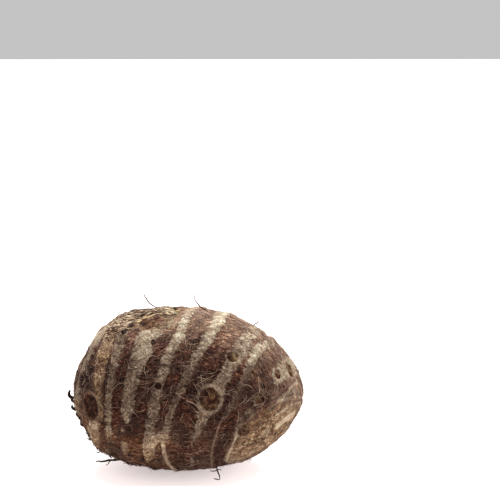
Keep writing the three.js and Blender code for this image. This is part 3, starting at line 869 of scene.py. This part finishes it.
# Where the kinds of skin lie: the places, or the angles from the top, between which each comes in
zones = {
    "shoulderMat": (6.6, 7.4), "tipMat": (8.2, 9.0), "bark": (4.2, 3.2), "barkAngles": (40, 30),
    "baseBark": (1.1, 0.8), "baseBarkAngles": (6, 13), "baseEnd": (0.1, -0.5), "tanStarts": (0.5, 0.9),
    "tanEnds": (1.9, 1.7), "tanAngles": (125, 105), "lowTan": (5.4, 4.8), "lowTanAngles": (105, 122),
    "tipTan": (9.0, 9.5), "furrowAngles": (20, 50),
}
amounts = {
    "bark": 0.7, "baseEnd": 0.5, "lowTan": 0.85, "leastTan": 0.05, "stainOnMats": 0.4, "slitShade": 1.2,
}


def stainAt(points):
    # how dark or pale the blotches are, and the shade in the slit
    total = np.zeros(len(points))
    for place, angle, radius, strength in blotches:
        middle = bodyPoint(np.array(float(place)), np.array(math.radians(angle)))
        total += strength * (1 - smooth(0.5, 1.2, np.linalg.norm(points - middle, axis=1) / radius))
    along, uphill = slitPlace(points)
    inSlit = (1 - smooth(0.5, 0.62, np.abs(along))) * (1 - smooth(0.2, 0.7, np.abs(uphill)))
    return total, amounts["slitShade"] * inSlit


def skinPaint(points, place, around, side):
    # the values that the skin's material reads
    def zone(name):
        return smooth(*zones[name], side if name.endswith("Angles") else place)

    # band and mat tones by angle from the top are partly painted light: paler on top, darker round the sides
    edge, tone = bandPaint(points, place, around)
    rimShare, rimTone = rimPaint(points)
    span, olive, pale = budPaint(points)
    stain, slitShade = stainAt(points)
    # these mat tones hold painted light: lighter on top where light falls, darker on the sides in shade
    mats = {name: np.interp(side, *zip(*stops)) for name, stops in matTones.items()}
    matTone = blendOf(mats["body"], mats["shoulder"], zone("shoulderMat"))
    matTone = blendOf(matTone, mats["tip"], zone("tipMat")) + driftOf("mats", points)
    matTone = matTone + amounts["stainOnMats"] * np.minimum(stain, 0)
    bark = zone("bark") * zone("barkAngles") * amounts["bark"]
    bark = bark * (1 - zone("baseBark") * zone("baseBarkAngles"))
    bark = np.maximum(bark, amounts["baseEnd"] * zone("baseEnd")) + driftOf("bark", points)
    tan = zone("tanStarts") * zone("tanEnds") * zone("tanAngles")
    tan = np.maximum(tan, amounts["lowTan"] * zone("lowTanAngles") * zone("lowTan"))
    tan = np.maximum(tan, zone("tipTan"))
    tan = np.clip(tan + driftOf("tan", points), amounts["leastTan"], 1)
    # the stain value also carries the painted shade in the slit
    values = (edge, tone, rimShare, rimTone, matTone, bark, tan, stain - slitShade, span, olive, pale)
    return dict(zip(paintNames, values))


def skinGrid():
    # points of the smooth body in rows and columns, and one at each end, with their places, angles and grain
    angles = np.arange(skin["columns"]) * 2 * math.pi / skin["columns"]
    place, around = np.meshgrid(evenPlaces(skin["rows"] + 2)[1:-1], angles, indexing="ij")
    points = bodyPoint(place, around)
    arc = np.cumsum(np.linalg.norm(np.diff(points, axis=0, prepend=points[:1]), axis=2), axis=0)
    grain = np.stack([arc, skin["grainRadius"] * np.cos(around), skin["grainRadius"] * np.sin(around)], -1)
    grid = [points.reshape(-1, 3), place.ravel(), around.ravel(), grain.reshape(-1, 3)]
    ends = [[baseEnd, tipEnd], [-1, lastRing + 1], [0, 0], [(0, 0, 0), (arc.max(), 0, 0)]]
    return [np.concatenate([values, np.array(atEnds, float)]) for values, atEnds in zip(grid, ends)]


def skinFaces(rows, columns):
    # the grid's faces, wrapped round, and a fan of triangles that closes each end
    row, column = np.meshgrid(np.arange(rows - 1), np.arange(columns), indexing="ij")
    first, second = row * columns + column, row * columns + (column + 1) % columns
    faces = np.stack([first, second, second + columns, first + columns], -1).reshape(-1, 4).tolist()
    base, tip, top = rows * columns, rows * columns + 1, (rows - 1) * columns
    faces += [(base, (k + 1) % columns, k) for k in range(columns)]
    faces += [(tip, top + k, top + (k + 1) % columns) for k in range(columns)]
    return faces


def finishedHeight(points, place, around, grain, side, paint):
    # the solid's relief, with grit, furrows and loose plates, and the faint rise of bands and rims
    edge, calm = paint["bandEdge"], smooth(0.9, 1.3, paint["budSpan"])
    height = skinRelief(points, place, around) + driftOf("grit", points)
    deep = blendOf(skin["topFurrows"], 1, smooth(*zones["furrowAngles"], side))
    furrows = driftOf("furrows", grain / np.array(skin["furrowPitch"]))
    height += furrows * smooth(0.5, -0.5, edge) * calm * deep
    plates = smooth(0.46, 0.54, roughPatches(grain / np.array(skin["platePitch"]), 1.0, skin["plateSeed"]))
    height += skin["plate"] * (plates - 0.5) * smooth(0.35, 0.6, paint["barkShare"]) * calm
    return height + skin["bandRise"] * smooth(-0.6, 0.6, edge) * calm + skin["rimRise"] * paint["rimShare"]


surface = {}  # the finished skin as a grid of rows and columns, for what grows on it


def keepSurface(shaped, normals, values):
    shape = (skin["rows"], skin["columns"])
    for name, ofPoints in values.items():
        surface[name] = ofPoints[:-2].reshape(shape)
    surface["points"] = shaped[:-2].reshape(*shape, 3)
    surface["normals"] = normals[:-2].reshape(*shape, 3)
    surface["rowStep"] = np.linalg.norm(np.gradient(surface["points"], axis=0), axis=2)
    wrapped = np.roll(surface["points"], -1, axis=1) - np.roll(surface["points"], 1, axis=1)
    surface["columnStep"] = np.linalg.norm(wrapped, axis=2) / 2
    paleBand = smooth(-0.6, 0.4, surface["bandEdge"]) * smooth(0.4, 0.7, surface["bandTone"])
    paleMat = 0.55 * smooth(0.35, 1.0, surface["matTone"])
    surface["pale"] = np.maximum(np.maximum(paleBand, paleMat), surface["rimShare"])


def makeSkin():
    points, place, around, grain = skinGrid()
    side = sideAngle(points, around)
    paint = skinPaint(points, place, around, side)
    normals = normalAt(points)
    shaped = points + normals * finishedHeight(points, place, around, grain, side, paint)[:, None]
    low, high = (np.array(corner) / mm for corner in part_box("corm"))
    shift = (low + high - shaped.min(0) - shaped.max(0)) / 2
    shaped += np.array([shift[0], shift[1], 0])
    shaped[:, 2] = np.maximum(shaped[:, 2], 0)  # the small flat that the corm stands on
    piece = makeMesh("cormSkin", shaped, skinFaces(skin["rows"], skin["columns"]), makeSkinMaterial())
    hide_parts("corm")
    for name, values in {**paint, "grain": grain}.items():
        addAttribute(piece, name, values)
    keepSurface(shaped, normals, {**paint, "side": side, "place": place})


makeCamera()
makeStudio()
makeFloor()
print("camera, light and floor are in place")
makeSkin()
print("skin made")

# Root fibre that lies over the skin, coarser and fewer than the real, so that single strands show. spread:
# degrees that a strand's heading strays from the growth. curl: degrees that it bends in a mm. lift: mm over
# the skin in its middle. tone: 0 dark, 1 straw, and at least paleTone over pale skin. bands, mats, bark: how
# many strands start there, against each other.
fibres = {
    "darkFibre": {
        "seed": 11, "count": 5000, "length": (2, 5), "width": (0.14, 0.28), "spread": 32, "curl": 13,
        "lift": (0.02, 0.3), "tone": (0.0, 0.4), "paleTone": 0.8, "bands": 0.04, "mats": 1, "bark": 0.25,
    },
    "brownFibre": {
        "seed": 12, "count": 3800, "length": (2, 6), "width": (0.1, 0.18), "spread": 44, "curl": 18,
        "lift": (0.05, 0.5), "tone": (0.18, 0.56), "paleTone": 0.8, "bands": 0.07, "mats": 1, "bark": 0.2,
    },
    "strawFibre": {
        "seed": 13, "count": 1500, "length": (2, 9), "width": (0.07, 0.14), "spread": 50, "curl": 17,
        "lift": (0.1, 0.8), "tone": (0.6, 1.0), "paleTone": 0.8, "bands": 0.2, "mats": 1, "bark": 0.3,
    },
}

# rings: cross-sections along a strand. bareRows: rows of the skin at each end where none starts. backward:
# share that runs towards the base end. jitter: radians at each ring. mostCurl: the most bend, in curls.
strand = {
    "rings": 7, "bareRows": 6, "backward": 0.4, "jitter": 0.12, "mostCurl": 1.5, "clear": 0.05,
    "endShare": 0.45,
}
strandFinish = {
    "tones": ((0, "#1a0c07"), (0.35, "#53382e"), (0.7, "#927766"), (1, "#cbb296")), "roughness": 0.75,
    "shine": 0.3,
}


def makeStrandMaterial():
    # dry root hair: stringy and slightly waxy, from near black at its root to straw
    material, tree, shader = newMaterial("driedRootHair", strandFinish)
    tone = addNode(tree, "Attribute", attribute_name="strandTone").outputs["Fac"]
    colour = addNode(tree, "ValToRGB", {0: tone}, strandFinish["tones"])
    tree.links.new(colour.outputs[0], shader.inputs["Base Color"])
    return material


# grain, fleck: the torn fibre's pitch in mm, and how much it changes the tone
leafBase = {
    "tones": ((0, "#1e120c"), (0.3, "#543e30"), (0.65, "#85705a"), (1, "#b5a488")), "grain": 0.8,
    "fleck": 0.8, "roughness": 0.9, "shine": 0.15,
}


def makeLeafBaseMaterial():
    # dry leaf base, torn along its fibre: papery and matt, dark where it is damp, tan where it is bleached
    material, tree, shader = newMaterial("tornLeafBase", leafBase)
    spot = addNode(tree, "TexCoord").outputs["Object"]
    grain = addNode(tree, "TexNoise", {"Vector": spot, "Scale": 1000 / leafBase["grain"], "Detail": 2})
    tone = addNode(tree, "Attribute", attribute_name="strandTone").outputs["Fac"]
    tone = addNode(tree, "Math", {0: grain, 1: leafBase["fleck"], 2: tone}, operation="MULTIPLY_ADD")
    tone = addNode(tree, "Math", {0: tone, 1: leafBase["fleck"] / 2}, operation="SUBTRACT")
    colour = addNode(tree, "ValToRGB", {0: tone}, leafBase["tones"])
    tree.links.new(colour.outputs[0], shader.inputs["Base Color"])
    return material


strandMaterial = makeStrandMaterial()
leafBaseMaterial = makeLeafBaseMaterial()


def onSkin(name, row, column):
    # a value of the finished skin between its grid points
    grid = surface[name]
    row = np.clip(row, 0, grid.shape[0] - 1.001)
    low, left = np.floor(row).astype(int), np.floor(column).astype(int)
    up, across = row - low, column - left
    if grid.ndim == 3:
        up, across = up[:, None], across[:, None]
    here, there = left % grid.shape[1], (left + 1) % grid.shape[1]
    lower = blendOf(grid[low, here], grid[low, there], across)
    upper = blendOf(grid[low + 1, here], grid[low + 1, there], across)
    return blendOf(lower, upper, up)


def strandPaths(rng, chance, kind, stands):
    # paths over the skin: points, and the skin's normals, paleness and stain under each
    count, curl, steps = kind["count"], kind["curl"], strand["rings"] - 1
    area = surface["rowStep"] * surface["columnStep"] * chance
    area[:strand["bareRows"]], area[-strand["bareRows"]:] = 0, 0
    start = rng.choice(area.size, count, p=(area / area.sum()).ravel())
    row, column = (place + rng.random(count) for place in np.unravel_index(start, area.shape))
    heading = np.radians(rng.normal(0, kind["spread"], count))
    heading = heading + math.pi * (rng.random(count) < strand["backward"])
    most = strand["mostCurl"] * curl
    bend = np.radians(np.clip(rng.normal(0, curl, count), -most, most))
    stride = rng.uniform(*kind["length"], count) / steps
    height = rng.uniform(*kind["lift"], count)
    path = {"points": [], "normals": [], "pale": [], "stain": []}
    for ring in range(strand["rings"]):
        share = ring / steps
        rise = height * (share if stands else 4 * share * (1 - share))
        under = {name: onSkin(name, row, column) for name in path}
        under["points"] = under["points"] + under["normals"] * rise[:, None]
        for name, values in under.items():
            path[name].append(values)
        row = row + np.cos(heading) * stride / onSkin("rowStep", row, column)
        column = column + np.sin(heading) * stride / np.maximum(onSkin("columnStep", row, column), 0.1)
        heading = heading + bend * stride + rng.normal(0, strand["jitter"], count)
    return [np.stack(values, 1) for values in path.values()]


def makeStrands(name, points, normals, width, thick, tone, sides, material):
    # closed tapering tubes along the paths, wider than thick where they are flat
    count, ringCount = points.shape[:2]
    points = points.copy()
    points[..., 2] = np.maximum(points[..., 2], thick[:, None] / 2 + strand["clear"])
    along = unit(np.gradient(points, axis=1))
    across = unit(np.cross(along, normals))
    out = np.cross(across, along)
    bulge = np.sin(math.pi * (np.linspace(0, 1, ringCount) * 0.85 + 0.12))  # thickest just before its middle
    taper = (strand["endShare"] + (1 - strand["endShare"]) * bulge)[None, :, None, None]
    turn = (np.arange(sides) * 2 * math.pi / sides + math.pi / 2)[None, None, :, None]
    rim = np.cos(turn) * across[:, :, None] * width[:, None, None, None]
    rim = rim + np.sin(turn) * out[:, :, None] * thick[:, None, None, None]
    corners = (points[:, :, None] + rim * taper / 2).reshape(-1, 3)
    which, ring, side = np.indices((count, ringCount - 1, sides))
    first = which * ringCount * sides + ring * sides
    low, lowNext = first + side, first + (side + 1) % sides
    faces = np.stack([low, lowNext, lowNext + sides, low + sides], -1).reshape(-1, 4).tolist()
    roots = np.arange(count)[:, None] * ringCount * sides + np.arange(sides)
    faces += roots[:, ::-1].tolist() + (roots + (ringCount - 1) * sides).tolist()
    piece = makeMesh(name, corners, faces, material)
    addAttribute(piece, "strandTone", np.repeat(np.broadcast_to(tone, (count, ringCount)), sides))


def growPiece(name, kind, chance, material=strandMaterial, sides=3, stands=False):
    # strands of one kind, most where the chance is high. stands: with their far ends off the skin
    rng = np.random.default_rng(kind["seed"])
    points, normals, pale, stain = strandPaths(rng, chance, kind, stands)
    width = rng.uniform(*kind["width"], kind["count"])
    thick = np.full(kind["count"], kind["thick"]) if "thick" in kind else width
    tone = rng.uniform(*kind["tone"], kind["count"])[:, None]
    tone = blendOf(tone, np.maximum(tone, kind.get("paleTone", 0)), pale) + kind.get("stained", 0) * stain
    makeStrands(name, points, normals, width, thick, tone, sides, material)


# How much thinner the fibre grows on some of the skin, and how it clumps
thinned = {"cleanBands": 0.8, "baseEnd": 0.45, "rims": 0.85, "tip": 0.3}
clumps = {"pitch": 5, "seed": 71, "least": 0.15, "more": 1.6}


def makeFibres():
    place = surface["place"]
    mats = smooth(1.0, -0.7, surface["bandEdge"])
    clean = 1 - thinned["cleanBands"] * smooth(0.5, 0.8, surface["bandTone"])
    bark = smooth(0.3, 0.6, surface["barkShare"])
    clumped = smooth(0.3, 0.7, patches(surface["points"], clumps["pitch"], clumps["seed"]))
    for name, fibre in fibres.items():
        chance = blendOf(blendOf(fibre["bands"] * clean, fibre["mats"], mats), fibre["bark"], bark)
        chance = chance * blendOf(thinned["baseEnd"], 1, smooth(1.6, 2.1, place))
        chance = chance * (1 - thinned["rims"] * surface["rimShare"])
        chance = chance * blendOf(1, thinned["tip"], smooth(8.8, 9.8, place))
        chance = chance * (clumps["least"] + clumps["more"] * clumped) * smooth(0.7, 1.15, surface["budSpan"])
        growPiece(name, fibre, chance)


# Stiff ends of fibre all over that show against the light. lift: mm that their far ends stand off the skin.
whiskers = {
    "seed": 21, "count": 900, "length": (1.2, 3.5), "width": (0.08, 0.14), "spread": 50, "curl": 12,
    "lift": (0.4, 1.9), "tone": (0.1, 0.7), "onBands": 0.3,
}


def makeWhiskers():
    chance = whiskers["onBands"] + smooth(0.8, -0.8, surface["bandEdge"])
    growPiece("whiskers", whiskers, chance, stands=True)


# Dark rags of torn bark that hang off the low edge at the base end, the same way
rags = {
    "seed": 22, "count": 200, "length": (2, 5), "width": (0.5, 1.4), "thick": 0.15, "spread": 40, "curl": 10,
    "lift": (0.2, 1.3), "tone": (0, 0.3), "places": (4.2, 3.0), "angles": (128, 145),
}


def makeRags():
    chance = smooth(*rags["places"], surface["place"]) * smooth(*rags["angles"], surface["side"])
    growPiece("barkRags", rags, chance, leafBaseMaterial, sides=4, stands=True)


# Torn leaf-base bark, which the blotches stain. elsewhere: how much of it lies outside its main patch.
flakes = {
    "seed": 31, "count": 800, "length": (1.2, 4.2), "width": (0.5, 1.9), "thick": 0.14, "spread": 20,
    "curl": 5, "lift": (0.02, 0.3), "tone": (0.2, 0.95), "stained": 1, "places": (3.6, 2.8),
    "fromPlaces": (0.7, 1.2), "angles": (42, 32), "elsewhere": 0.02, "clearOfStain": 0.9,
}


def makeFlakes():
    place, side = surface["place"], surface["side"]
    flaky = smooth(*flakes["places"], place) * smooth(*flakes["angles"], side)
    flaky = flaky * smooth(*flakes["fromPlaces"], place)
    chance = (flakes["elsewhere"] + flaky) * smooth(0.3, 0.6, surface["barkShare"])
    chance = chance * smooth(1.4, 2.1, surface["budSpan"])
    chance = chance * (1 - flakes["clearOfStain"] * smooth(0.15, 0.45, -surface["stain"]))
    growPiece("barkFlakes", flakes, chance, leafBaseMaterial, sides=4)


# Single long fibres: width, tone, and the (place, angle) stops along each. The three near black strips beside
# the big bud and under the bark flakes are no fibres: they are painted shadow.
longFibres = named(pathKeys, {
    "loop": (0.28, 0.8, ((3.79, 81), (3.93, 85), (4.16, 86), (4.34, 82))),
    "smile": (0.3, 0.8, ((5.38, 130), (5.97, 132), (6.57, 126))),
    "budSideTop": (0.5, 0.75, ((5.22, 87), (5.42, 88), (5.69, 90))),
    "budSideLow": (0.35, 0.7, ((5.44, 91), (5.6, 93), (5.79, 96))),
    "tipLoop": (0.28, 0.85, ((8.3, 74), (8.76, 60), (8.65, 54))),
    "tipStraw": (0.26, 0.9, ((7.46, 49), (8.13, 62), (7.89, 71))),
    "upright": (0.24, 0.8, ((1.74, 44), (1.93, 51), (2.04, 60))),
    "acrossKhaki": (0.3, 0.05, ((1.03, 62), (1.91, 62.5), (2.28, 63.5))),
    "redRunner": (0.35, 0.4, ((2.26, 93), (2.6, 93.5), (2.95, 94.5))),
    "crack": (0.5, 0.0, ((9.89, 129), (10.21, 133), (10.41, 128), (10.67, 131))),
    "diagonal": (0.4, 0.12, ((2.83, 102), (3.11, 106), (3.4, 111), (3.64, 117))),
    "diagonalLow": (0.3, 0.15, ((2.7, 106), (2.95, 110), (3.2, 115))),
    "diagonalBeside": (0.35, 0.15, ((3.27, 104), (3.5, 108), (3.74, 112))),
    "underFlakes": (0.6, 0.0, ((1.86, 31), (2.2, 33), (2.52, 34), (2.85, 37))),
    "budShadow": (0.7, 0.0, ((5.12, 83), (5.41, 84.5), (5.62, 86))),
    "budShadowLow": (0.5, 0.0, ((5.51, 95), (5.65, 95.5), (5.79, 95.5))),
})
laid = {"rings": 24, "flatness": 0.6, "sides": 6}


def rowAt(place):
    return np.interp(place, surface["place"][:, 0], np.arange(skin["rows"]))


def columnAt(angle):
    return (angle / 360 * skin["columns"]) % skin["columns"]


def drape(stops):
    # a path over the finished skin through the stops, with a little wander
    place, angle = routeOf(stops, laid["rings"])
    row = rowAt(place)
    spots = bodyPoint(place, np.radians(angle))
    row = row + driftOf("longFibres", spots) / onSkin("rowStep", row, angle * 0)
    return onSkin("points", row, columnAt(angle)), onSkin("normals", row, columnAt(angle))


def makeLongFibres():
    # this piece also holds the near black strips of painted shadow beside the big bud and under the flakes
    draped = [drape(fibre["path"]) for fibre in longFibres.values()]
    points, normals = (np.stack(part) for part in zip(*draped))
    width, tone = (np.array([fibre[key] for fibre in longFibres.values()]) for key in ("width", "tone"))
    thick = width * laid["flatness"]
    makeStrands("longFibres", points, normals, width, thick, tone[:, None], laid["sides"], strandMaterial)


# Long hairs and broken rootlets that leave the skin: where each starts (place, angle), how far it goes
# (right, back, up), how far its middle bows, its width and tone, and how far from the start it really begins.
# The real hairs are half as thick and paler, and against the bright floor such a hair doesn't show.
looseKeys = ("start", "reach", "bow", "width", "tone", "shift")
looseEnds = named(looseKeys, {
    "hairTop": ((2.78, -2), (-4.6, 0.5, 7.4), (-1.2, 0, -0.8), 0.55, 0.3),
    "hairShoulder": ((4.41, -8), (-5.6, 0.5, 7.2), (-1.4, 0, -1.2), 0.55, 0.3),
    "hairNear": ((5.7, -10), (3.6, -0.5, 2.6), (0.2, 0, -0.4), 0.5, 0.35),
    "rootletLow": ((2.35, 160), (-11.5, -3.5, -0.4), (0, 0, 0.6), 0.9, 0.1),
    "rootletFork": ((1.9, 158), (-5.0, -3.5, -1.4), (0, 0, 0.4), 0.45, 0.1),
    "rootletStem": ((7.12, 166), (0.3, -8.5, -2.6), (0.3, 0, 0), 0.6, 0.15),
    "rootletArm": ((7.12, 166), (4.4, 0.3, 0.2), (0, -0.6, 0), 0.45, 0.15, (-2.4, -2.4, -1.2)),
    "rootletFoot": ((7.12, 166), (2.8, -0.6, 0), (0, -0.4, 0), 0.5, 0.15, (-1.1, -8.2, -2.6)),
})

# Dark scales at the base end that curl off the edge, the same way
curledScales = named(looseKeys, {
    "hook": ((-0.33, 131), (-1.4, -0.4, 3.4), (-1.2, 0, -0.7), 1.5, 0.0),
    "upper": ((-0.24, 136), (-0.9, -0.5, 2.4), (-0.6, 0, 0), 1.3, 0.1),
    "middle": ((-0.08, 141), (-1.1, -0.5, 2.4), (-0.6, 0, 0), 1.3, 0.0),
    "lower": ((0.1, 145), (-1.2, -0.5, 2.2), (-0.6, 0, 0.2), 1.2, 0.1),
    "lowest": ((0.33, 148), (-1.4, -0.5, 1.8), (-0.5, 0, 0), 1.2, 0.0),
    "foot": ((0.75, 151), (-2.2, -0.6, 1.2), (-0.2, 0, -0.4), 0.5, 0.1),
    "heel": ((1.2, 154), (-2.0, -0.5, -0.6), (0, 0, -0.4), 0.5, 0.1),
})
loose = {"rings": 12, "sides": 5, "seed": 97, "facing": (0.0, -1.0, 0.2)}


def makeLoose(name, ends, flatness, material, crook):
    # each rises from the skin, and bows and crooks on its way
    rng = np.random.default_rng(loose["seed"])
    share = np.linspace(0, 1, loose["rings"])[:, None]
    paths = []
    for end in ends.values():
        place, angle = end["start"]
        root = onSkin("points", rowAt([place]), np.array([columnAt(angle)]))
        root = root + np.array(end.get("shift", (0, 0, 0)))
        kinks = np.cumsum(rng.normal(0, crook, (loose["rings"], 3)), axis=0) * share
        paths.append(root + share * end["reach"] + 4 * share * (1 - share) * end["bow"] + kinks)
    points = np.stack(paths)
    width, tone = (np.array([end[key] for end in ends.values()]) for key in ("width", "tone"))
    facing = np.broadcast_to(loose["facing"], points.shape)
    makeStrands(name, points, facing, width, width * flatness, tone[:, None], loose["sides"], material)


makeFibres()
makeWhiskers()
makeRags()
makeFlakes()
print("root fibre and bark laid")
makeLongFibres()
makeLoose("looseEnds", looseEnds, flatness=1.0, material=strandMaterial, crook=0.22)
makeLoose("curledScales", curledScales, flatness=0.25, material=leafBaseMaterial, crook=0.05)
print("long fibres and loose ends laid")
